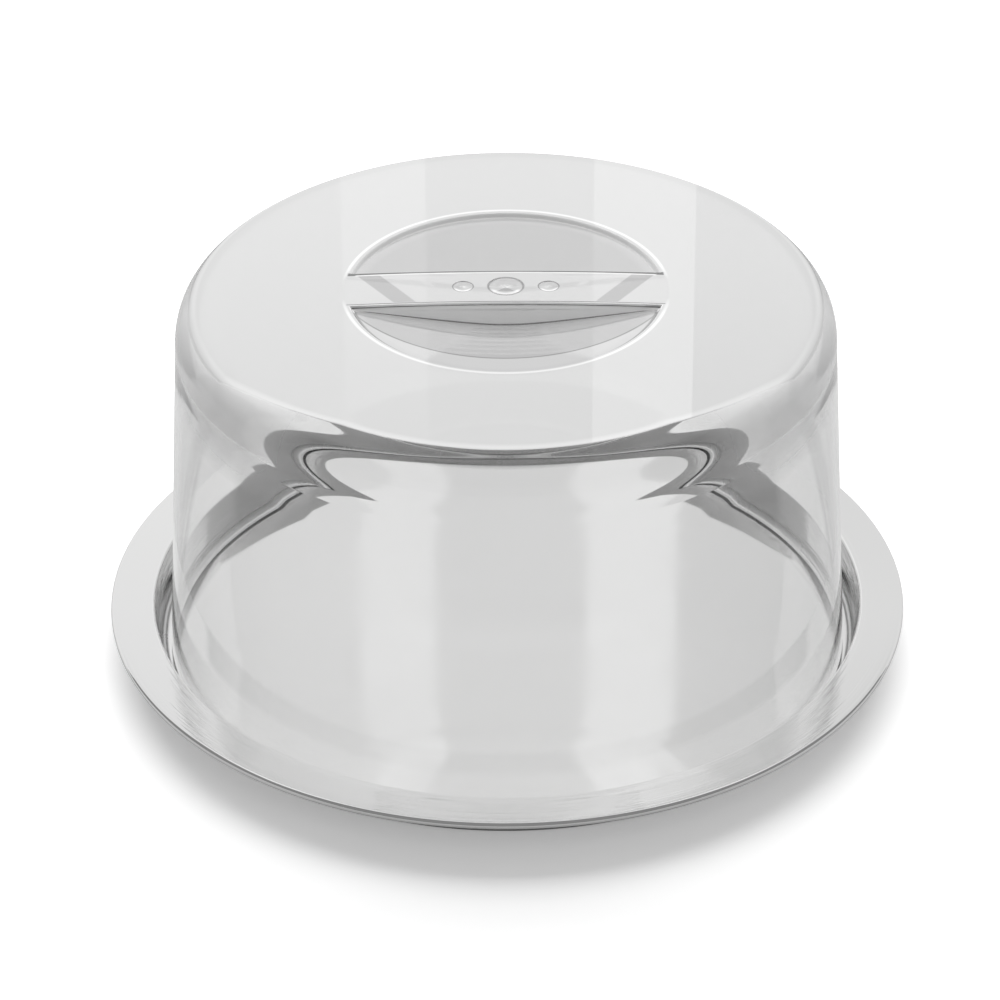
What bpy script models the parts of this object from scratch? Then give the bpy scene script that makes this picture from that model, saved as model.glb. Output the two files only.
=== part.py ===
"""A round cake cover on its serving tray: a clear moulded dome standing in the well of a pressed steel tray.

The tray's underside is at z = 0 and both pieces are turned about the Z axis. The dome's lid carries two finger
pockets, with a flush bar left standing between them along X.
"""

import math

import bmesh
import bpy

# Tray, pressed from one steel sheet
SHEET = 0.0008
TRAY_RADIUS = 0.170
RIM_HEIGHT = 0.020
RIM_INNER_RADIUS = 0.1511
WELL_FLOOR_RADIUS = 0.149
WELL_CORNER = 0.003
RIM_INNER_BEND = 0.0012
RIM_OUTER_BEND = 0.0016
LIP_DROP = 0.003

# Dome, moulded in one piece with an even wall
SEAT_GAP = 0.0003
DOME_WALL = 0.0025
DOME_TOP = 0.1705
DOME_FOOT_RADIUS = 0.1448
DOME_SHOULDER_RADIUS = 0.1376
SHOULDER_HEIGHT = 0.0203
CROWN_RADIUS = 0.1255
CROWN_DROP = 0.0053

# Grip in the lid
GRIP_RADIUS = 0.067
GRIP_EDGE_SLOPE = 0.0015
GRIP_EDGE_DEPTH = 0.0016
GRIP_DEPTH = 0.0126
BAR_WIDTH = 0.025
MARK_DEPTH = 0.0005
GATE_MARK_RADIUS = 0.0075
PIN_MARK_RADIUS = 0.0044
PIN_MARK_SPACING = 0.0177

# Fineness of the round shapes
TURN_STEPS = 96
MARK_STEPS = 24
CROWN_STEPS = 5
SHOULDER_STEPS = 8
BEND_STEPS = 3
SHARP_ANGLE = math.radians(32)
OVERSHOOT = 0.01


def clear_scene():
    for item in list(bpy.data.objects):
        bpy.data.objects.remove(item)


def material(name, colour, roughness, metallic, transmission=0.0, ior=1.5):
    made = bpy.data.materials.new(name)
    made.use_nodes = True
    shader = made.node_tree.nodes["Principled BSDF"]
    shader.inputs["Base Color"].default_value = (*colour, 1.0)
    shader.inputs["Roughness"].default_value = roughness
    shader.inputs["Metallic"].default_value = metallic
    shader.inputs["Transmission Weight"].default_value = transmission
    shader.inputs["IOR"].default_value = ior
    return made


def bend(radius, height, across, up, start, end, steps):
    """Points (radius, height) along part of an ellipse about one point, with its angles in degrees."""
    points = []
    for step in range(steps + 1):
        angle = math.radians(start + (end - start) * step / steps)
        points.append((radius + across * math.cos(angle), height + up * math.sin(angle)))
    return points


def turned(name, profile, steps=TURN_STEPS):
    """A closed body of revolution about Z. The profile's two ends are on the axis."""
    shape = bmesh.new()
    corners = [shape.verts.new((radius, 0.0, height)) for radius, height in profile]
    edges = [shape.edges.new(pair) for pair in zip(corners, corners[1:])]
    bmesh.ops.spin(
        shape,
        geom=corners + edges,
        cent=(0, 0, 0),
        axis=(0, 0, 1),
        angle=math.tau,
        steps=steps,
        use_merge=True,
    )
    bmesh.ops.remove_doubles(shape, verts=shape.verts, dist=1e-6)
    return finished(name, shape)


def box(name, size, centre):
    shape = bmesh.new()
    bmesh.ops.create_cube(shape, size=1.0)
    bmesh.ops.scale(shape, verts=shape.verts, vec=size)
    bmesh.ops.translate(shape, verts=shape.verts, vec=centre)
    return finished(name, shape)


def finished(name, shape):
    bmesh.ops.recalc_face_normals(shape, faces=shape.faces)
    mesh = bpy.data.meshes.new(name)
    shape.to_mesh(mesh)
    shape.free()
    mesh.shade_smooth()
    mesh.set_sharp_from_angle(angle=SHARP_ANGLE)
    made = bpy.data.objects.new(name, mesh)
    bpy.context.scene.collection.objects.link(made)
    return made


def cut(target, cutter):
    """Takes the cutter's shape out of the target and keeps the cutter as a helper."""
    modifier = target.modifiers.new(cutter.name, "BOOLEAN")
    modifier.operation = "DIFFERENCE"
    modifier.object = cutter
    cutter.hide_render = True
    cutter.display_type = "WIRE"


def tray_profile():
    """Over the floor, up the well and across the rim to the lip, then back underneath."""
    corner = WELL_FLOOR_RADIUS - WELL_CORNER
    inner_bend = RIM_INNER_RADIUS + RIM_INNER_BEND
    outer_bend = TRAY_RADIUS - RIM_OUTER_BEND
    floor_turn = SHEET + WELL_CORNER
    rim_turn_in = RIM_HEIGHT - RIM_INNER_BEND
    rim_turn_out = RIM_HEIGHT - RIM_OUTER_BEND
    lip_end = RIM_HEIGHT - LIP_DROP
    under_floor = WELL_CORNER + SHEET
    under_in = RIM_INNER_BEND - SHEET
    under_out = RIM_OUTER_BEND - SHEET
    top = [(0.0, SHEET)]
    top += bend(corner, floor_turn, WELL_CORNER, WELL_CORNER, -90, 0, BEND_STEPS)
    top += bend(inner_bend, rim_turn_in, RIM_INNER_BEND, RIM_INNER_BEND, 180, 90, BEND_STEPS)
    top += bend(outer_bend, rim_turn_out, RIM_OUTER_BEND, RIM_OUTER_BEND, 90, 0, BEND_STEPS)
    top.append((TRAY_RADIUS, lip_end))
    under = [(TRAY_RADIUS - SHEET, lip_end)]
    under += bend(outer_bend, rim_turn_out, under_out, under_out, 0, 90, BEND_STEPS)
    under += bend(inner_bend, rim_turn_in, under_in, under_in, 90, 180, BEND_STEPS)
    under += bend(corner, floor_turn, under_floor, under_floor, 0, -90, BEND_STEPS)
    under.append((0.0, 0.0))
    return top + under


def crown_height(radius):
    return DOME_TOP - CROWN_DROP * (radius / CROWN_RADIUS) ** 2


def dome_profile(inset, foot):
    """From the axis over the crown and the shoulder, and down the wall to the foot, a wall's inset inside."""
    crown = []
    for step in range(CROWN_STEPS + 1):
        radius = CROWN_RADIUS * step / CROWN_STEPS
        crown.append((radius, crown_height(radius) - inset))
    shoulder_foot = DOME_TOP - CROWN_DROP - SHOULDER_HEIGHT
    shoulder_width = DOME_SHOULDER_RADIUS - CROWN_RADIUS
    shoulder = bend(
        CROWN_RADIUS, shoulder_foot, shoulder_width - inset, SHOULDER_HEIGHT - inset, 90, 0, SHOULDER_STEPS
    )
    return crown[:-1] + shoulder + [(DOME_FOOT_RADIUS - inset, foot), (0.0, foot)]


def grip_profile(outset):
    """The dished recess as a body that reaches out of the lid, or its skin's outer face, a wall's outset outside."""
    above = DOME_TOP + OVERSHOOT
    edge = crown_height(GRIP_RADIUS)
    floor_radius = GRIP_RADIUS - GRIP_EDGE_SLOPE + outset
    return [
        (0.0, above),
        (GRIP_RADIUS + outset, above),
        (GRIP_RADIUS + outset, edge - outset),
        (floor_radius, edge - GRIP_EDGE_DEPTH - outset),
        (0.0, DOME_TOP - GRIP_DEPTH - outset),
    ]


def grip_body(name, outset):
    """The recess less the bar that crosses it, which leaves the two finger pockets."""
    recess = turned(name, grip_profile(outset))
    bar_size = (3 * GRIP_RADIUS, BAR_WIDTH - 2 * outset, 2 * DOME_TOP)
    cut(recess, box(name + "_bar", bar_size, (0.0, 0.0, DOME_TOP)))
    return recess


def mark(name, radius, centre_x):
    """A shallow round moulding mark, cut from above into the bar."""
    above = DOME_TOP + OVERSHOOT
    below = crown_height(centre_x) - MARK_DEPTH
    made = turned(name, [(0.0, above), (radius, above), (radius, below), (0.0, below)], MARK_STEPS)
    made.location.x = centre_x
    return made


def make_tray():
    tray = turned("tray", tray_profile())
    tray.data.materials.append(material("polished_steel", (0.80, 0.80, 0.80), 0.12, 1.0))


def make_dome():
    foot = SHEET + SEAT_GAP
    dome = turned("dome", dome_profile(0.0, foot))
    cavity = turned("dome_cavity", dome_profile(DOME_WALL, foot - OVERSHOOT))
    cut(cavity, grip_body("pocket_skin", DOME_WALL))
    cut(dome, cavity)
    cut(dome, grip_body("pocket", 0.0))
    cut(dome, mark("gate_mark", GATE_MARK_RADIUS, 0.0))
    for side in (-1, 1):
        cut(dome, mark(f"pin_mark_{side + 2}", PIN_MARK_RADIUS, side * PIN_MARK_SPACING))
    dome.data.materials.append(material("clear_plastic", (0.97, 0.97, 0.97), 0.03, 0.0, 1.0, 1.53))


clear_scene()
make_tray()
make_dome()
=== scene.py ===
"""Looks for the clear cake dome on its polished steel tray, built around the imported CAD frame."""
import math

import bmesh
import bpy
import numpy as np
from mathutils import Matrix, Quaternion, Vector


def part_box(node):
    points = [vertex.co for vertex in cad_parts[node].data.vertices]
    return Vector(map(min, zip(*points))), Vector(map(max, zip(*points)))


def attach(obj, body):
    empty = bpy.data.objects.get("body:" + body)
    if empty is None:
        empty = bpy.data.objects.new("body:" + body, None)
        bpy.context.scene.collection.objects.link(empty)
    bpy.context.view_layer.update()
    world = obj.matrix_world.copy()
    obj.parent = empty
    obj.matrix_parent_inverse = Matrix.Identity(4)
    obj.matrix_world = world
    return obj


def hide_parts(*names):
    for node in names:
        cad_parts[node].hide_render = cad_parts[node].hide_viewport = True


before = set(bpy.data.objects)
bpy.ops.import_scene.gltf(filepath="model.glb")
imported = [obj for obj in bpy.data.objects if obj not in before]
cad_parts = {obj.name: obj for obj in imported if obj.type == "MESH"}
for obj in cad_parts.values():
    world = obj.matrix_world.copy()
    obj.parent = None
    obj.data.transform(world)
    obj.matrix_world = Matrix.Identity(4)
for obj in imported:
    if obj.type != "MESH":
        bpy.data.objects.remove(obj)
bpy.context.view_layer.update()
TRAY_LOW, TRAY_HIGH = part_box("tray")
DOME_LOW, DOME_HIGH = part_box("dome")

# Tray sizes, in metres
SHEET = 0.0008
TRAY_RADIUS = TRAY_HIGH.x
RIM_HEIGHT = TRAY_HIGH.z
RIM_INNER_RADIUS = 0.1511
WELL_FLOOR_RADIUS = 0.149
WELL_CORNER = 0.003
RIM_INNER_BEND = 0.0012
RIM_OUTER_BEND = 0.0016
LIP_DROP = 0.003
TRAY_STEPS = 384
FLOOR_RADII = (0.0, 0.03, 0.07, 0.11)
CORNER_ROUGHNESS = 0.22

# Dome sizes. The wall is thick in the middle of the lid, thin at its edge, and thicker again below.
DOME_WALL = 0.0025
LID_WALL = 0.00316
LID_EDGE_WALL = 0.0016
SHOULDER_FOOT_WALL = 0.003
DOME_FOOT = DOME_LOW.z
DOME_TOP = DOME_HIGH.z
DOME_FOOT_RADIUS = DOME_HIGH.x
DOME_SHOULDER_RADIUS = 0.1376
SHOULDER_HEIGHT = 0.0197
SHOULDER_ROUNDING = 2.36
CROWN_RADIUS = 0.1202
CROWN_DROP = 0.00486
FOOT_EDGE = 0.0006
INNER_CROWN_RADIUS = 0.115
INNER_SHOULDER_HEIGHT = 0.0258
INNER_SHOULDER_ROUNDING = 3.53
SHOULDER_STEPS = 72
SHOULDER_SAMPLES = 600
CROWN_ROWS = 24
WALL_ROWS = 12
FOOT_ROWS = 5
TURN_ROWS = 14

# The clouded lid reaches less far at the front, between two shares of the way round to the side
LID_FRONT_EDGE = 0.1205
LID_SIDE_EDGE = 0.1315
LID_FRONT = (0.84, 0.47)
LID_FOOT = (0.137, 0.146)
LID_MIRROR = 0.40
CLOUDED_CLEARNESS = 0.12
PLASTIC_IOR = 1.5
SHADOW_GREY = 0.84

# Haze on the sides of the shoulder: its heights, and its ends between the front (-1) and the back (1)
HAZE_HEIGHTS = (0.126, 0.146)
HAZE_FRONT = (-0.82, -0.62)
HAZE_BACK = (-0.05, 0.45)
SIDE_HAZE = 0.85

# Tones painted on the plastic: its own greys, and painted shade and painted highlights
CLEAR_GREY = 0.98
LID_GREY = 0.72
# Painted shade: the grey of the recessed pockets, darker than the lid
POCKET_SHADE_GREY = 0.57
HAZE_GREY = 0.82
# Painted shade on the shoulder's front bend
BEND_SHADE_GREY = 0.40
# Painted highlight along the clouded lid's edge
EDGE_HIGHLIGHT_GREY = 0.95
# Painted shade: the dark lines along the front pocket's arc
DARK_ARC_GREY = 0.35
BAR_END_GREY = 0.52
# Painted shade: dark lines along the bar's edges
BAR_SHADE_LINE_GREY = 0.20
# Painted shade in the moulding marks: their dishes and their outlines
DISH_SHADE_GREY = 0.66
OUTLINE_SHADE_GREY = 0.34
WHITE = 1.0
# Where the painted shade on the shoulder's front bend reaches: round the front, and past the lid's edge
BEND_FRONT = (-0.99, -0.90)
BEND_FADE = (0.0090, 0.0105)

# Grip
GRIP_RADIUS = 0.067
GRIP_DEPTH = 0.0126
GRIP_EDGE_DEPTH = 0.0016
BAR_HALF_WIDTH = 0.0125
GRIP_CLOUD = 0.85
# Centre and radius of a painted dark arc in the front pocket, standing in for refraction; the plastic has
# no crease there
DARK_ARC_CENTRE = 0.0273
DARK_ARC_RADIUS = 0.0763
MARKS = ((0.0, 0.0075, 0.0005), (-0.0177, 0.0044, 0.0004), (0.0177, 0.0044, 0.0004))
MARK_FLATNESS = (4, 0.8)

# Steps down into the pockets: upper bend, lower bend, slope, height and points in each bend
OUTER_BAR_STEP = (0.0009, 0.0012, 0.0006, 0.009, 7)
INNER_BAR_STEP = (0.0022, 0.0020, 0.0006, 0.009, 7)
POCKET_EDGE_STEP = (0.0022, 0.0016, 0.0014, 0.0022, 7)
FINE_REACH = 0.0235
FINE_SPACING = 0.00045
FINE_SHARE = 0.35
OUTER_SECTIONS = 46
POCKET_ROWS = 26
BAR_ROWS = 57

# Studio. Each panel behind the object has a left and a right edge, and a glow at its foot and at its head.
FLOOR_REACH = 6.0
FLOOR_GREY = 0.55
FLOOR_WHITE = 0.93
FLOOR_LIFT = 0.28
PANEL_EDGES = (-1.8, -0.107, -0.052, 0.0575, 0.124, 1.8)
PANEL_GLOWS = ((0.88, 0.82), (0.98, 0.85), (0.84, 0.81), (1.00, 0.98), (0.80, 0.72))
PANEL_FADE = (0.71, 0.86)
PANEL_DISTANCE = 1.0
PANEL_TOP = 2.4
CEILING_GLOW = 0.9
ROOM_GLOW = 0.25
KEY_LIGHT = ((0.0, 1.45, 1.95), (3.4, 1.5), 76)
FILL_LIGHT = ((0.3, -2.0, 2.0), (1.6, 1.6), 8)

# Viewpoint
VIEW_ELEVATION = 32.04
VIEW_DISTANCE = 2.0
VIEW_HEIGHT = 0.0796
VIEW_ROLL = -0.25
VIEW_SHIFT = (-0.0066, -0.0277)
SENSOR_WIDTH = 36
LENS_LENGTH = 170.0


# ---------------------------------------------------------------- mesh helpers

def bend(radius, height, across, up, start, end, steps):
    """Points (radius, height) along part of an ellipse about one point, with its angles in degrees."""
    angles = np.radians(np.linspace(start, end, steps + 1))
    return [(radius + across * math.cos(a), height + up * math.sin(a)) for a in angles]


def grid_faces(rows, columns, offset, closed):
    """Quads of a grid stored row by row. A closed one joins its last column to its first."""
    faces = []
    spans = columns if closed else columns - 1
    for row in range(rows - 1):
        for column in range(spans):
            here = offset + row * columns + column
            side = offset + row * columns + (column + 1) % columns
            faces.append((here, side, side + columns, here + columns))
    return faces


def mesh_of(name, grids, sharp_degrees):
    """One closed mesh from grids (rows x columns x 3, closed or not) that share their border points."""
    points, faces = [], []
    for grid, closed in grids:
        rows, columns = grid.shape[:2]
        faces += grid_faces(rows, columns, len(points), closed)
        points += [tuple(point) for point in grid.reshape(-1, 3)]
    mesh = bpy.data.meshes.new(name)
    mesh.from_pydata(points, [], faces)
    shape = bmesh.new()
    shape.from_mesh(mesh)
    bmesh.ops.remove_doubles(shape, verts=shape.verts, dist=2e-6)
    bmesh.ops.dissolve_degenerate(shape, edges=shape.edges, dist=1e-6)
    bmesh.ops.recalc_face_normals(shape, faces=shape.faces)
    shape.to_mesh(mesh)
    shape.free()
    mesh.shade_smooth()
    mesh.set_sharp_from_angle(angle=math.radians(sharp_degrees))
    made = bpy.data.objects.new(name, mesh)
    bpy.context.scene.collection.objects.link(made)
    return made


def turned_grid(profile, angles):
    """Rows of points, one for each profile point (radius, height), at the given angles."""
    profile = np.array(profile)
    radius = profile[:, 0][:, None]
    height = np.repeat(profile[:, 1][:, None], len(angles), axis=1)
    return np.stack([radius * np.cos(angles), radius * np.sin(angles), height], axis=-1)


# ---------------------------------------------------------------- tray

def tray_profile():
    corner = WELL_FLOOR_RADIUS - WELL_CORNER
    inner = RIM_INNER_RADIUS + RIM_INNER_BEND
    outer = TRAY_RADIUS - RIM_OUTER_BEND
    rim_in = RIM_HEIGHT - RIM_INNER_BEND
    rim_out = RIM_HEIGHT - RIM_OUTER_BEND
    lip = RIM_HEIGHT - LIP_DROP
    top = [(radius, SHEET) for radius in FLOOR_RADII]
    top += bend(corner, SHEET + WELL_CORNER, WELL_CORNER, WELL_CORNER, -90, 0, 14)
    top += bend(inner, rim_in, RIM_INNER_BEND, RIM_INNER_BEND, 180, 90, 10)
    top += [(inner + share * (outer - inner), RIM_HEIGHT) for share in (0.25, 0.5, 0.75)]
    top += bend(outer, rim_out, RIM_OUTER_BEND, RIM_OUTER_BEND, 90, 0, 12)
    under = bend(TRAY_RADIUS - SHEET, lip + SHEET, SHEET, SHEET, 0, -180, 10)
    under += [(TRAY_RADIUS - 2 * SHEET, rim_out)]
    under += [(outer - SHEET, RIM_HEIGHT - SHEET), (inner, RIM_HEIGHT - SHEET)]
    under += bend(inner, rim_in, RIM_INNER_BEND - SHEET, RIM_INNER_BEND - SHEET, 90, 180, 6)
    under += bend(corner, SHEET + WELL_CORNER, WELL_CORNER + SHEET, WELL_CORNER + SHEET, 0, -90, 12)
    under += [(radius, 0.0) for radius in reversed(FLOOR_RADII)]
    return top + under


def make_tray():
    angles = np.linspace(0.0, math.tau, TRAY_STEPS, endpoint=False)
    tray = mesh_of("steel_tray", [(turned_grid(tray_profile(), angles), True)], 40)
    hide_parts("tray")
    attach(tray, "tray")
    return tray


# ---------------------------------------------------------------- dome

def outer_crown(radius):
    return DOME_TOP - CROWN_DROP * (radius / CROWN_RADIUS) ** 2


def inner_crown(radius):
    wall = LID_WALL + (LID_EDGE_WALL - LID_WALL) * (radius / INNER_CROWN_RADIUS) ** 4
    return outer_crown(radius) - wall


def recess_floor(radius, inset):
    """A shallow cone, deepest under the bar."""
    edge_floor = outer_crown(GRIP_RADIUS) - GRIP_EDGE_DEPTH
    centre_floor = DOME_TOP - GRIP_DEPTH
    return centre_floor + (edge_floor - centre_floor) * radius / GRIP_RADIUS - inset


def shoulder(radius, height, across, up, rounding):
    """Points (radius, height) of a squared-off quarter ellipse, evenly spaced from its top to its side."""
    angles = np.linspace(math.pi / 2, 0.0, SHOULDER_SAMPLES)
    out = radius + across * np.abs(np.cos(angles)) ** (2 / rounding)
    high = height + up * np.abs(np.sin(angles)) ** (2 / rounding)
    along = np.concatenate([[0.0], np.cumsum(np.hypot(np.diff(out), np.diff(high)))])
    even = np.linspace(0.0, along[-1], SHOULDER_STEPS)
    return list(zip(np.interp(even, along, out), np.interp(even, along, high)))


class Step:
    """A rounded step down, seen from the side: an upper bend, a steep wall and a lower bend.

    across holds the distances from its upper edge, and fall the share of the step's height lost there.
    """

    def __init__(self, upper, lower, slope, height, count):
        points = []
        lean = math.degrees(math.atan2(height, slope))
        for angle in np.linspace(0.0, lean, count):
            a = math.radians(angle)
            points.append((upper * math.sin(a), upper * (1 - math.cos(a))))
        x0, z0 = points[-1]
        wall = max(height - (upper + lower) * (1 - math.cos(math.radians(lean))), 0.0)
        run = wall / math.tan(math.radians(lean))
        x1, z1 = x0 + run, z0 + wall
        points.append(((x0 + x1) / 2, (z0 + z1) / 2))
        for angle in np.linspace(lean, 0.0, count):
            a = math.radians(angle)
            points.append((x1 + lower * (math.sin(math.radians(lean)) - math.sin(a)),
                           z1 + lower * (math.cos(a) - math.cos(math.radians(lean)))))
        points = np.array(points)
        self.across = points[:, 0]
        self.fall = points[:, 1] / points[-1, 1]

    def share(self, distance):
        return np.interp(distance, self.across, self.fall, left=0.0, right=1.0)


class Skin:
    """One face of the dome's wall: the outer face at inset 0, or the inner face at the wall's thickness."""

    def __init__(self, inset):
        self.inset = inset
        outer = inset == 0.0
        self.crown = outer_crown if outer else inner_crown
        self.reach = GRIP_RADIUS + inset
        self.bar = BAR_HALF_WIDTH - inset
        self.bar_step = Step(*(OUTER_BAR_STEP if outer else INNER_BAR_STEP))
        self.edge_step = Step(*POCKET_EDGE_STEP)
        self.tip = math.sqrt(self.reach ** 2 - self.bar ** 2)

    def height(self, x, y):
        """Height of the lid with its pockets, over any point inside the grip's circle."""
        radius = np.hypot(x, y)
        top = self.crown(radius)
        depth = top - recess_floor(radius, self.inset)
        down = self.bar_step.share(np.abs(y) - self.bar)
        down = down * self.edge_step.share(self.reach - radius)
        dimple = 0.0
        power, fall = MARK_FLATNESS
        if self.inset == 0.0:
            for centre, size, sink in MARKS:
                away = np.hypot(x - centre, y) / size
                dimple = dimple + sink * np.clip(1 - away ** power, 0.0, 1.0) ** fall
        return top - depth * down - dimple

    def sections(self):
        """The x of each line across a pocket, from its right tip to its left, finer over the marks."""
        fine = np.arange(0.0, FINE_REACH, FINE_SPACING) / FINE_REACH
        middle = fine * FINE_SHARE * self.tip
        outer = np.linspace(0.0, 1.0, OUTER_SECTIONS)[1:]
        outer = middle[-1] + (self.tip - middle[-1]) * np.sin(outer * math.pi / 2)
        half = np.concatenate([middle, outer])
        return np.concatenate([half[::-1], -half[1:]])

    def pocket(self, side):
        """Grid of the pocket on one side (+1 back, -1 front), one row for each step from bar to arc."""
        x = self.sections()
        far = np.sqrt(np.maximum(self.reach ** 2 - x ** 2, self.bar ** 2))
        rows = [self.bar + step for step in self.bar_step.across]
        floor = np.linspace(0.0, 1.0, POCKET_ROWS)[1:-1]
        arcs = [np.sqrt(np.maximum((self.reach - step) ** 2 - x ** 2, 0.0))
                for step in self.edge_step.across[::-1]]
        start = np.minimum(rows[-1], far)
        stop = np.clip(arcs[0], start, far)
        grid = [np.clip(np.full_like(x, row), self.bar, far) for row in rows]
        grid += [start + (stop - start) * share for share in floor]
        grid += [np.clip(arc, start, far) for arc in arcs]
        y = np.array(grid)
        x = np.repeat(x[None, :], len(y), axis=0)
        return np.stack([x, side * y, self.height(x, y)], axis=-1)

    def bar_top(self):
        """Grid of the bar's top, from its back edge to its front edge."""
        x = self.sections()
        y = np.linspace(self.bar, -self.bar, BAR_ROWS)
        ends = np.sqrt(self.reach ** 2 - y ** 2) / self.tip
        grid_x = x[None, :] * ends[:, None]
        grid_y = np.repeat(y[:, None], len(x), axis=1)
        return np.stack([grid_x, grid_y, self.height(grid_x, grid_y)], axis=-1)

    def ring(self):
        """The grip's outline: the back arc, the bar's left end, the front arc and the bar's right end."""
        back = self.pocket(1)[-1]
        front = self.pocket(-1)[-1][::-1]
        bar = self.bar_top()
        left = bar[1:-1, -1]
        right = bar[1:-1, 0][::-1]
        return np.concatenate([back, left, front, right])

    def profile(self):
        """Points (radius, height) over the crown and shoulder and down the wall to the foot."""
        if self.inset == 0.0:
            bend_start, tall = CROWN_RADIUS, SHOULDER_HEIGHT
            rounding = SHOULDER_ROUNDING
            top_radius = DOME_SHOULDER_RADIUS
        else:
            bend_start, tall = INNER_CROWN_RADIUS, INNER_SHOULDER_HEIGHT
            rounding = INNER_SHOULDER_ROUNDING
            top_radius = DOME_SHOULDER_RADIUS - SHOULDER_FOOT_WALL
        bend_foot = self.crown(bend_start) - tall
        crown_radii = np.linspace(self.reach, bend_start, CROWN_ROWS)[1:-1]
        points = [(radius, self.crown(radius)) for radius in crown_radii]
        points += shoulder(bend_start, bend_foot, top_radius - bend_start, tall, rounding)
        foot_radius = DOME_FOOT_RADIUS - self.inset
        edge_top = DOME_FOOT + FOOT_EDGE
        for share in np.linspace(0.0, 1.0, WALL_ROWS + 1)[1:]:
            points.append((top_radius + (foot_radius - top_radius) * share,
                           bend_foot + (edge_top - bend_foot) * share))
        inward = -1 if self.inset == 0.0 else 1
        for angle in np.radians(np.linspace(0, 90, FOOT_ROWS + 1)[1:]):
            points.append((foot_radius + inward * FOOT_EDGE * (1 - math.cos(angle)),
                           edge_top - FOOT_EDGE * math.sin(angle)))
        return points

    def turned_part(self, common_angles):
        """From the grip's outline to the foot, at angles that even out over the first rows."""
        ring = self.ring()
        own_angles = np.unwrap(np.arctan2(ring[:, 1], ring[:, 0]))
        rows = [ring]
        for number, (radius, height) in enumerate(self.profile()):
            share = min(1.0, (number + 1) / TURN_ROWS)
            angles = own_angles + (common_angles - own_angles) * share
            rows.append(np.stack([radius * np.cos(angles), radius * np.sin(angles),
                                  np.full_like(angles, height)], axis=-1))
        return np.array(rows)


def make_dome():
    outer = Skin(0.0)
    inner = Skin(DOME_WALL)
    ring = outer.ring()
    angles = np.unwrap(np.arctan2(ring[:, 1], ring[:, 0]))
    outside = outer.turned_part(angles)
    inside = inner.turned_part(angles)
    foot = np.array([outside[-1], inside[-1]])
    grids = [(outside, True), (inside, True), (foot, True)]
    for skin in (outer, inner):
        grids += [(skin.pocket(1), False), (skin.pocket(-1), False), (skin.bar_top(), False)]
    dome = mesh_of("clear_dome", grids, 60)
    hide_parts("dome")
    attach(dome, "dome")
    return dome


# ---------------------------------------------------------------- materials

class Nodes:
    """A material's node tree, with short calls to add and link nodes."""

    def __init__(self, name):
        self.material = bpy.data.materials.new(name)
        self.material.use_nodes = True
        self.tree = self.material.node_tree
        self.shader = self.tree.nodes["Principled BSDF"]
        self.output = self.tree.nodes["Material Output"]

    def add(self, kind, **settings):
        node = self.tree.nodes.new(kind)
        for name, value in settings.items():
            setattr(node, name, value)
        return node

    def link(self, source, target):
        self.tree.links.new(source, target)

    def noise(self, vector, scale, detail=3.0, roughness=0.5):
        node = self.add("ShaderNodeTexNoise")
        node.inputs["Scale"].default_value = scale
        node.inputs["Detail"].default_value = detail
        node.inputs["Roughness"].default_value = roughness
        self.link(vector, node.inputs["Vector"])
        return node.outputs["Fac"]

    def spread(self, value, low, high, to_low, to_high):
        node = self.add("ShaderNodeMapRange")
        bounds = {"From Min": low, "From Max": high, "To Min": to_low, "To Max": to_high}
        for name, number in bounds.items():
            node.inputs[name].default_value = number
        self.link(value, node.inputs["Value"])
        return node.outputs["Result"]

    def ridge(self, value, centre, half_width, soft):
        """1 where the value is within half_width of the centre, falling to 0 over the soft distance."""
        away = self.math("ABSOLUTE", self.math("SUBTRACT", value, centre))
        return self.spread(away, half_width, half_width + soft, 1.0, 0.0)

    def paint(self, under, mask, grey):
        """A colour turned to this grey where the mask is 1."""
        node = self.add("ShaderNodeMix", data_type="RGBA")
        node.inputs["B"].default_value = (grey, grey, grey, 1.0)
        self.link(mask, node.inputs["Factor"])
        self.link(under, node.inputs["A"])
        return node.outputs["Result"]

    def times(self, *factors):
        result = factors[0]
        for factor in factors[1:]:
            result = self.math("MULTIPLY", result, factor)
        return result

    def inverse(self, mask):
        return self.math("SUBTRACT", 1.0, mask)

    def length(self, first, second):
        return self.math("SQRT", self.math("ADD", self.math("POWER", first, 2.0),
                                           self.math("POWER", second, 2.0)))

    def math(self, operation, first, second=None):
        node = self.add("ShaderNodeMath", operation=operation)
        for place, value in enumerate((first, second)):
            if value is None:
                continue
            if isinstance(value, (int, float)):
                node.inputs[place].default_value = value
            else:
                self.link(value, node.inputs[place])
        return node.outputs["Value"]

    def bump(self, height, strength, distance, normal=None):
        node = self.add("ShaderNodeBump")
        node.inputs["Strength"].default_value = strength
        node.inputs["Distance"].default_value = distance
        self.link(height, node.inputs["Height"])
        if normal is not None:
            self.link(normal, node.inputs["Normal"])
        return node.outputs["Normal"]


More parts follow.
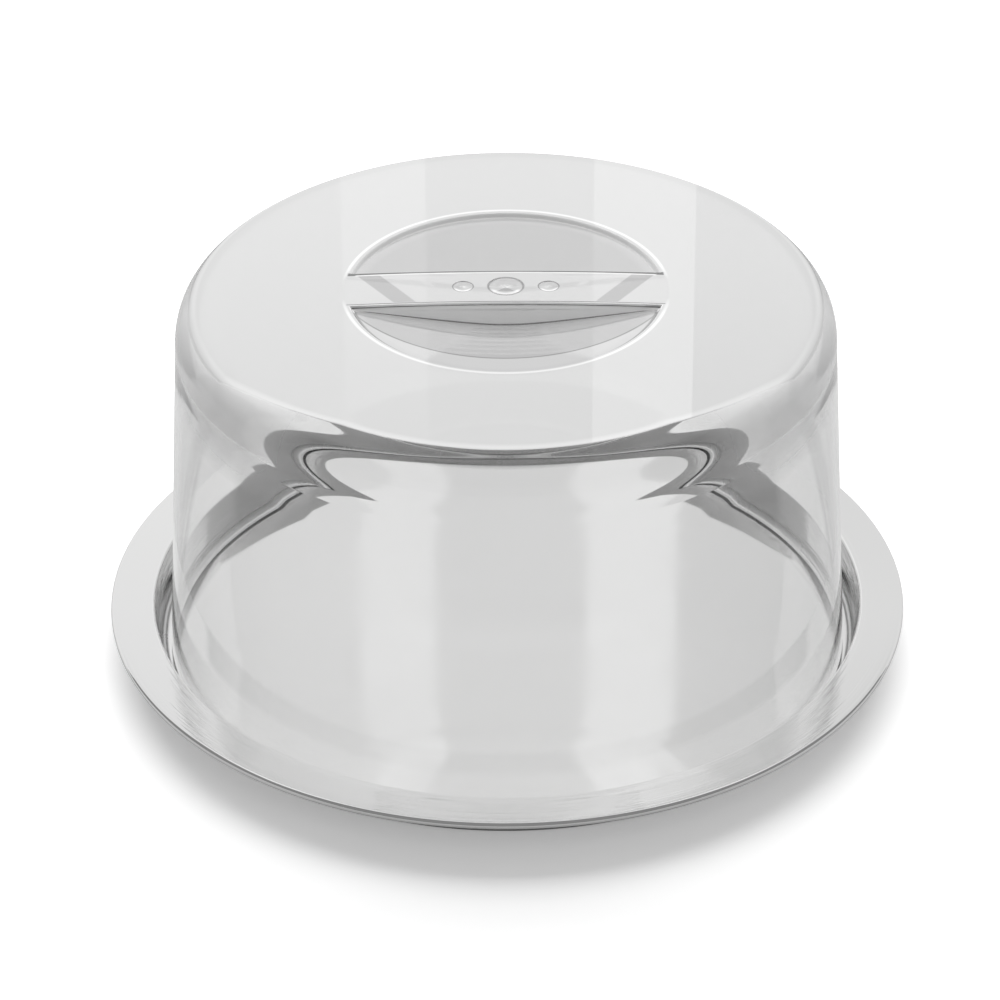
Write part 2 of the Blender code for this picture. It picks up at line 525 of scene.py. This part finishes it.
def steel_material():
    m = Nodes("polished_steel")
    m.shader.inputs["Metallic"].default_value = 1.0
    place = m.add("ShaderNodeTexCoord").outputs["Object"]
    split = m.add("ShaderNodeSeparateXYZ")
    m.link(place, split.inputs["Vector"])
    radius = m.length(split.outputs["X"], split.outputs["Y"])
    rings = m.add("ShaderNodeCombineXYZ")
    m.link(radius, rings.inputs["X"])
    m.link(split.outputs["Z"], rings.inputs["Z"])
    smudges = m.noise(place, 14.0, 4.0, 0.55)
    draw_lines = m.noise(rings.outputs["Vector"], 900.0, 2.0, 0.6)
    grain = m.noise(place, 1400.0, 2.0, 0.5)
    corner = m.ridge(radius, WELL_FLOOR_RADIUS - WELL_CORNER / 2, WELL_CORNER / 2, 0.0003)
    matt = m.math("MULTIPLY", corner, CORNER_ROUGHNESS)
    m.link(m.math("ADD", m.spread(smudges, 0.3, 0.7, 0.035, 0.085), matt), m.shader.inputs["Roughness"])
    tint = m.add("ShaderNodeValToRGB")
    tint.color_ramp.elements[0].color = (0.83, 0.83, 0.83, 1.0)
    tint.color_ramp.elements[1].color = (0.90, 0.90, 0.895, 1.0)
    m.link(m.noise(place, 5.0, 2.0), tint.inputs["Fac"])
    m.link(tint.outputs["Color"], m.shader.inputs["Base Color"])
    on_wall = m.spread(radius, WELL_FLOOR_RADIUS - WELL_CORNER, WELL_FLOOR_RADIUS, 0.0, 1.0)
    lines = m.bump(m.math("MULTIPLY", draw_lines, on_wall), 0.25, 0.0004)
    m.link(m.bump(grain, 0.02, 0.00003, lines), m.shader.inputs["Normal"])
    return m.material


class ClearPlastic(Nodes):
    """Clear plastic with a clouded lid. Its masks use the dome's own coordinates, and move with it."""

    def __init__(self):
        super().__init__("clear_plastic")
        self.place = self.add("ShaderNodeTexCoord").outputs["Object"]
        split = self.add("ShaderNodeSeparateXYZ")
        self.link(self.place, split.inputs["Vector"])
        self.x, self.y, self.z = split.outputs
        self.radius = self.length(self.x, self.y)
        self.side = self.math("ABSOLUTE", self.x)
        outward = self.math("DIVIDE", self.radius, CROWN_RADIUS)
        drop = self.times(self.math("POWER", outward, 2.0), CROWN_DROP)
        self.depth = self.math("SUBTRACT", self.math("SUBTRACT", DOME_TOP, drop), self.z)
        seen = self.add("ShaderNodeNewGeometry")
        facing = self.add("ShaderNodeSeparateXYZ")
        self.link(seen.outputs["Normal"], facing.inputs["Vector"])
        self.upright = facing.outputs["Z"]
        self.level = self.spread(self.upright, 0.80, 0.97, 0.0, 1.0)
        self.outside = self.times(self.inverse(seen.outputs["Backfacing"]),
                                  self.spread(self.upright, -0.05, 0.05, 0.0, 1.0))
        self.backward = self.math("DIVIDE", self.y, self.radius)
        edge = self.spread(self.backward, -LID_FRONT[0], -LID_FRONT[1], LID_FRONT_EDGE, LID_SIDE_EDGE)
        self.past_edge = self.math("SUBTRACT", self.radius, edge)
        above_wall = self.spread(self.z, *LID_FOOT, 0.0, 1.0)
        self.lid = self.times(self.spread(self.past_edge, 0.0006, -0.0006, 0.0, 1.0), above_wall)
        sideways = self.times(self.spread(self.backward, *HAZE_FRONT, 0.0, 1.0),
                              self.spread(self.backward, *HAZE_BACK, 1.0, 0.0))
        self.haze = self.times(sideways, self.spread(self.z, *HAZE_HEIGHTS, 0.0, 1.0), SIDE_HAZE)
        self.in_grip = self.spread(self.radius, GRIP_RADIUS, GRIP_RADIUS + 0.001, 1.0, 0.0)
        self.marks = self.mark_masks()

    def mark_masks(self):
        found = 0.0
        for centre, size, _ in MARKS:
            away = self.length(self.math("SUBTRACT", self.x, centre), self.y)
            found = self.math("MAXIMUM", self.spread(away, size, size + 0.0004, 1.0, 0.0), found)
        return found

    def lid_cloud(self):
        strength = self.spread(self.in_grip, 0.0, 1.0, 1.0, GRIP_CLOUD)
        less = self.spread(self.marks, 0.0, 1.0, 1.0, 0.6)
        return self.times(self.lid, strength, less, self.outside)

    def bar_wall(self):
        """1 on the steep front wall of the bar."""
        return self.times(self.beyond_bar(0.0, 0.0034), self.inverse(self.level), self.lid,
                          self.in_grip)

    def all_cloud(self):
        return self.math("MAXIMUM", self.lid_cloud(), self.times(self.haze, self.outside))

    def bar_shade_lines(self):
        """Painted shade: dark lines along the bar where its clear edges show dark: its back edge, both
        sides of its front edge, its front wall's foot.
        """
        across = self.spread(self.side, 0.0655, 0.066, 1.0, 0.0)
        back = self.ridge(self.y, BAR_HALF_WIDTH, 0.0004, 0.0003)
        back_end = self.times(self.ridge(self.y, BAR_HALF_WIDTH, 0.0010, 0.0004),
                              self.spread(self.side, 0.048, 0.060, 0.0, 1.0))
        front = self.ridge(self.y, -BAR_HALF_WIDTH, 0.00012, 0.0002)
        second = self.times(self.ridge(self.depth, 0.0011, 0.0001, 0.0003),
                            self.beyond_bar(-0.0001, 0.002))
        bent = self.times(self.spread(self.upright, 0.45, 0.65, 0.0, 1.0),
                          self.spread(self.upright, 0.88, 0.95, 1.0, 0.0))
        foot = self.times(bent, self.beyond_bar(0.0006, 0.0034),
                          self.spread(self.depth, 0.002, 0.003, 0.0, 1.0))
        dark = self.math("MAXIMUM", self.math("MAXIMUM", back, back_end),
                         self.math("MAXIMUM", front, second))
        return self.times(self.math("MAXIMUM", dark, foot), across)

    def beyond_bar(self, near, far):
        """1 in front of the bar's front edge, between these two distances from it."""
        ahead = self.math("SUBTRACT", self.times(self.y, -1.0), BAR_HALF_WIDTH)
        return self.ridge(ahead, (near + far) / 2, (far - near) / 2, 0.0002)

    def bar_ends(self):
        """The slanting shade that the bar's hollow ends throw on its top."""
        along = self.math("ADD", self.side, self.times(self.y, -0.67))
        band = self.ridge(along, 0.0496, 0.0042, 0.0008)
        return self.times(band, self.spread(self.math("ABSOLUTE", self.y), 0.0116, 0.0122, 1.0, 0.0))

    def front_bend_shade(self):
        """The bend of the shoulder just past the front of the clouded lid, darkened with painted shade; the
        plastic itself is clear there.
        """
        ahead = self.spread(self.backward, *BEND_FRONT, 1.0, 0.0)
        return self.times(self.spread(self.past_edge, -0.0004, 0.0006, 0.0, 1.0),
                          self.spread(self.past_edge, *BEND_FADE, 1.0, 0.0), ahead)

    def paint_marks(self, tone):
        """Each moulding mark, painted with light and shade: a dish in painted shade with a dark painted
        outline, and painted highlights in its middle and at its front.
        """
        for centre, size, _ in MARKS:
            across = self.math("SUBTRACT", self.x, centre)
            away = self.length(across, self.y)
            inside = self.spread(away, size * 0.93, size * 0.97, 1.0, 0.0)
            outline = self.ridge(away, size * 0.97, size * 0.03, size * 0.06)
            front = self.times(self.ridge(away, size * 0.75, size * 0.05, size * 0.12),
                               self.spread(self.y, -size * 0.2, -size * 0.5, 0.0, 1.0))
            behind = self.times(self.math("SUBTRACT", self.y, size * 0.1), 1.6)
            glint = self.spread(self.length(across, behind), size * 0.15, size * 0.45, 1.0, 0.0)
            flicker = self.spread(self.noise(self.place, 900.0, 2.0), 0.40, 0.60, 0.2, 1.0)
            tone = self.paint(tone, inside, DISH_SHADE_GREY)
            tone = self.paint(tone, self.times(glint, flicker), WHITE)
            tone = self.paint(tone, front, WHITE)
            tone = self.paint(tone, outline, OUTLINE_SHADE_GREY)
        return tone

    def paint_lid(self):
        """The clear plastic, the haze on the shoulder, painted shade on the front bend, and the lid with a
        painted highlight along its edge.
        """
        start = self.add("ShaderNodeRGB")
        start.outputs["Color"].default_value = (CLEAR_GREY, CLEAR_GREY, CLEAR_GREY, 1.0)
        # Painted highlight: a pale line just inside the clouded lid's edge
        lid_edge_highlight = self.times(self.ridge(self.past_edge, -0.0012, 0.0004, 0.0022), self.lid)
        tone = self.paint(start.outputs["Color"], self.haze, HAZE_GREY)
        # Painted shade on the front bend of the shoulder
        tone = self.paint(tone, self.front_bend_shade(), BEND_SHADE_GREY)
        tone = self.paint(tone, self.lid, LID_GREY)
        return self.paint(tone, self.times(lid_edge_highlight, 0.5), EDGE_HIGHLIGHT_GREY)

    def paint_pockets(self, tone, pocket):
        """The pockets in painted shade, painted dark lines along the front one's arc, and the bar's wall
        painted white as painted light.
        """
        # Painted shade: a dark arc and a second dark line along the front pocket stand in for refraction
        # lines; beyond the arc the pocket goes back to the lid's grey
        from_dark_arc = self.length(self.x, self.math("SUBTRACT", self.y, DARK_ARC_CENTRE))
        dark_arc = self.ridge(from_dark_arc, DARK_ARC_RADIUS, 0.0002, 0.0004)
        past_dark_arc = self.times(self.spread(from_dark_arc, DARK_ARC_RADIUS, DARK_ARC_RADIUS + 0.001, 0.0, 1.0),
                                 self.spread(self.y, -0.014, -0.012, 1.0, 0.0))
        front = self.spread(self.y, -0.016, -0.013, 1.0, 0.0)
        second_dark_arc = self.times(self.ridge(self.radius, GRIP_RADIUS - 0.0028, 0.0004, 0.0008), front, self.lid)
        # Painted shade in the pockets
        tone = self.paint(tone, pocket, POCKET_SHADE_GREY)
        tone = self.paint(tone, self.times(pocket, past_dark_arc), LID_GREY)
        tone = self.paint(tone, self.times(pocket, dark_arc, front), DARK_ARC_GREY)
        tone = self.paint(tone, second_dark_arc, DARK_ARC_GREY)
        # Painted light: the bar's steep front wall is painted white, lighter than the lid, because the
        # lamps light it little
        return self.paint(tone, self.bar_wall(), WHITE)

    def tone(self):
        """The whole colour. Faces seen from inside stay clear."""
        pocket = self.times(self.spread(self.depth, 0.001, 0.003, 0.0, 1.0), self.lid)
        # Painted highlight: a white line round the grip's rounded outer edge
        grip_edge_highlight = self.times(self.ridge(self.radius, GRIP_RADIUS + 0.0005, 0.0003, 0.0007),
                         self.spread(self.math("ABSOLUTE", self.y), 0.008, 0.020, 0.0, 1.0))
        # Painted highlight: a white line along the bar's back edge
        bar_edge_highlight = self.times(self.ridge(self.y, BAR_HALF_WIDTH - 0.0012, 0.0002, 0.0003),
                                self.spread(self.side, 0.062, 0.063, 1.0, 0.0))
        tone = self.paint_pockets(self.paint_lid(), pocket)
        tone = self.paint(tone, self.times(self.bar_ends(), self.inverse(pocket)), BAR_END_GREY)
        # Painted shade along the bar's edges
        tone = self.paint(tone, self.bar_shade_lines(), BAR_SHADE_LINE_GREY)
        # Painted shade and painted highlights on the moulding marks
        tone = self.paint_marks(tone)
        # Painted highlight along the bar's back edge
        tone = self.paint(tone, bar_edge_highlight, WHITE)
        # Painted highlight round the grip's edge
        tone = self.paint(tone, self.times(grip_edge_highlight, self.lid), WHITE)
        return self.paint(tone, self.inverse(self.outside), CLEAR_GREY)


def clear_material():
    m = ClearPlastic()
    m.shader.inputs["IOR"].default_value = PLASTIC_IOR
    mirror = m.times(m.lid_cloud(), m.math("MAXIMUM", m.level, m.inverse(m.in_grip)))
    clearness = m.spread(m.all_cloud(), 0.0, 1.0, 1.0, CLOUDED_CLEARNESS)
    m.link(clearness, m.shader.inputs["Transmission Weight"])
    m.link(m.spread(mirror, 0.0, 1.0, 0.0, LID_MIRROR), m.shader.inputs["Metallic"])
    m.link(m.tone(), m.shader.inputs["Base Color"])
    smudges = m.noise(m.place, 18.0, 4.0, 0.6)
    m.link(m.spread(smudges, 0.35, 0.75, 0.0, 0.03), m.shader.inputs["Roughness"])
    flat = m.add("ShaderNodeMix", data_type="VECTOR")
    flat.inputs["B"].default_value = (0.0, 0.0, 1.0)
    m.link(m.times(m.spread(mirror, 0.0, 0.5, 0.0, 1.0), m.inverse(m.marks)), flat.inputs["Factor"])
    m.link(m.bump(m.noise(m.place, 9.0, 2.0), 0.05, 0.002), flat.inputs["A"])
    m.link(flat.outputs["Result"], m.shader.inputs["Normal"])
    shadow = m.add("ShaderNodeBsdfTransparent")
    shadow.inputs["Color"].default_value = (SHADOW_GREY, SHADOW_GREY, SHADOW_GREY, 1.0)
    ray = m.add("ShaderNodeLightPath")
    mix = m.add("ShaderNodeMixShader")
    m.link(ray.outputs["Is Shadow Ray"], mix.inputs["Fac"])
    m.link(m.shader.outputs["BSDF"], mix.inputs[1])
    m.link(shadow.outputs["BSDF"], mix.inputs[2])
    m.link(mix.outputs["Shader"], m.output.inputs["Surface"])
    return m.material


def floor_material():
    """A pale grey table that looks white where it is seen directly."""
    m = Nodes("studio_floor")
    m.shader.inputs["Base Color"].default_value = (FLOOR_GREY, FLOOR_GREY, FLOOR_GREY, 1.0)
    m.shader.inputs["Roughness"].default_value = 0.9
    white = m.add("ShaderNodeBsdfDiffuse")
    white.inputs["Color"].default_value = (FLOOR_WHITE, FLOOR_WHITE, FLOOR_WHITE, 1.0)
    ray = m.add("ShaderNodeLightPath")
    mix = m.add("ShaderNodeMixShader")
    m.link(ray.outputs["Is Camera Ray"], mix.inputs["Fac"])
    m.link(m.shader.outputs["BSDF"], mix.inputs[1])
    lift = m.add("ShaderNodeEmission")
    lift.inputs["Strength"].default_value = FLOOR_LIFT
    both = m.add("ShaderNodeAddShader")
    m.link(white.outputs["BSDF"], both.inputs[0])
    m.link(lift.outputs["Emission"], both.inputs[1])
    m.link(both.outputs["Shader"], mix.inputs[2])
    m.link(mix.outputs["Shader"], m.output.inputs["Surface"])
    return m.material


def glow_material(name, strength, high_strength):
    """A light that fades a little with height, which the lid reflects from its back to its front."""
    m = Nodes(name)
    m.tree.nodes.remove(m.shader)
    glow = m.add("ShaderNodeEmission")
    split = m.add("ShaderNodeSeparateXYZ")
    m.link(m.add("ShaderNodeTexCoord").outputs["Object"], split.inputs["Vector"])
    m.link(m.spread(split.outputs["Z"], *PANEL_FADE, strength, high_strength), glow.inputs["Strength"])
    m.link(glow.outputs["Emission"], m.output.inputs["Surface"])
    return m.material


# ---------------------------------------------------------------- studio

def flat_panel(name, corners, surface):
    mesh = bpy.data.meshes.new(name)
    mesh.from_pydata(corners, [], [(0, 1, 2, 3)])
    mesh.materials.append(surface)
    made = bpy.data.objects.new(name, mesh)
    bpy.context.scene.collection.objects.link(made)
    return made


def make_floor():
    reach = FLOOR_REACH
    corners = [(-reach, -reach, 0), (reach, -reach, 0), (reach, reach, 0), (-reach, reach, 0)]
    flat_panel("studio_floor", corners, floor_material())


def back_panel(name, left, right, strengths):
    corners = [(left, PANEL_DISTANCE, 0.0), (right, PANEL_DISTANCE, 0.0),
               (right, PANEL_DISTANCE, PANEL_TOP), (left, PANEL_DISTANCE, PANEL_TOP)]
    panel = flat_panel(name, corners, glow_material(name, *strengths))
    panel.visible_camera = False
    panel.visible_shadow = False


def make_ceiling():
    left, right = PANEL_EDGES[0], PANEL_EDGES[-1]
    corners = [(left, PANEL_DISTANCE, PANEL_TOP), (right, PANEL_DISTANCE, PANEL_TOP),
               (right, 0.0, PANEL_TOP), (left, 0.0, PANEL_TOP)]
    ceiling = flat_panel("ceiling", corners, glow_material("ceiling", CEILING_GLOW, CEILING_GLOW))
    ceiling.visible_camera = False
    ceiling.visible_diffuse = False
    ceiling.visible_shadow = False


def make_backdrop():
    """Pale panels behind and above the object, not seen directly. The steel and the lid reflect them."""
    for number, strengths in enumerate(PANEL_GLOWS):
        back_panel(f"backdrop_{number}", PANEL_EDGES[number], PANEL_EDGES[number + 1], strengths)
    make_ceiling()


def make_light(name, place, size, power):
    light = bpy.data.lights.new(name, "AREA")
    light.shape = "RECTANGLE"
    light.size, light.size_y = size
    light.energy = power
    made = bpy.data.objects.new(name, light)
    bpy.context.scene.collection.objects.link(made)
    made.location = place
    made.rotation_euler = (-Vector(place)).to_track_quat("-Z", "Y").to_euler()
    made.visible_glossy = False
    made.visible_transmission = False


def make_studio():
    make_floor()
    make_backdrop()
    make_light("key", *KEY_LIGHT)
    make_light("fill", *FILL_LIGHT)
    world = bpy.context.scene.world or bpy.data.worlds.new("studio")
    bpy.context.scene.world = world
    world.use_nodes = True
    room = world.node_tree.nodes["Background"]
    room.inputs["Color"].default_value = (1, 1, 1, 1)
    room.inputs["Strength"].default_value = ROOM_GLOW
    bpy.context.scene.view_settings.view_transform = "Standard"
    bpy.context.scene.cycles.max_bounces = 24
    bpy.context.scene.cycles.transmission_bounces = 24
    bpy.context.scene.cycles.glossy_bounces = 12


def make_camera():
    elevation = math.radians(VIEW_ELEVATION)
    sight = Vector((0.0, 0.0, VIEW_HEIGHT))
    lens = bpy.data.cameras.new("camera")
    lens.sensor_width = SENSOR_WIDTH
    lens.lens = LENS_LENGTH
    lens.shift_x, lens.shift_y = VIEW_SHIFT
    camera = bpy.data.objects.new("camera", lens)
    bpy.context.scene.collection.objects.link(camera)
    camera.location = sight + VIEW_DISTANCE * Vector((0, -math.cos(elevation), math.sin(elevation)))
    tilt = Quaternion((1, 0, 0), math.pi / 2 - elevation)
    roll = Quaternion((0, 0, 1), math.radians(VIEW_ROLL))
    camera.rotation_mode = "QUATERNION"
    camera.rotation_quaternion = tilt @ roll
    bpy.context.scene.camera = camera


make_tray().data.materials.append(steel_material())
make_dome().data.materials.append(clear_material())
make_studio()
make_camera()
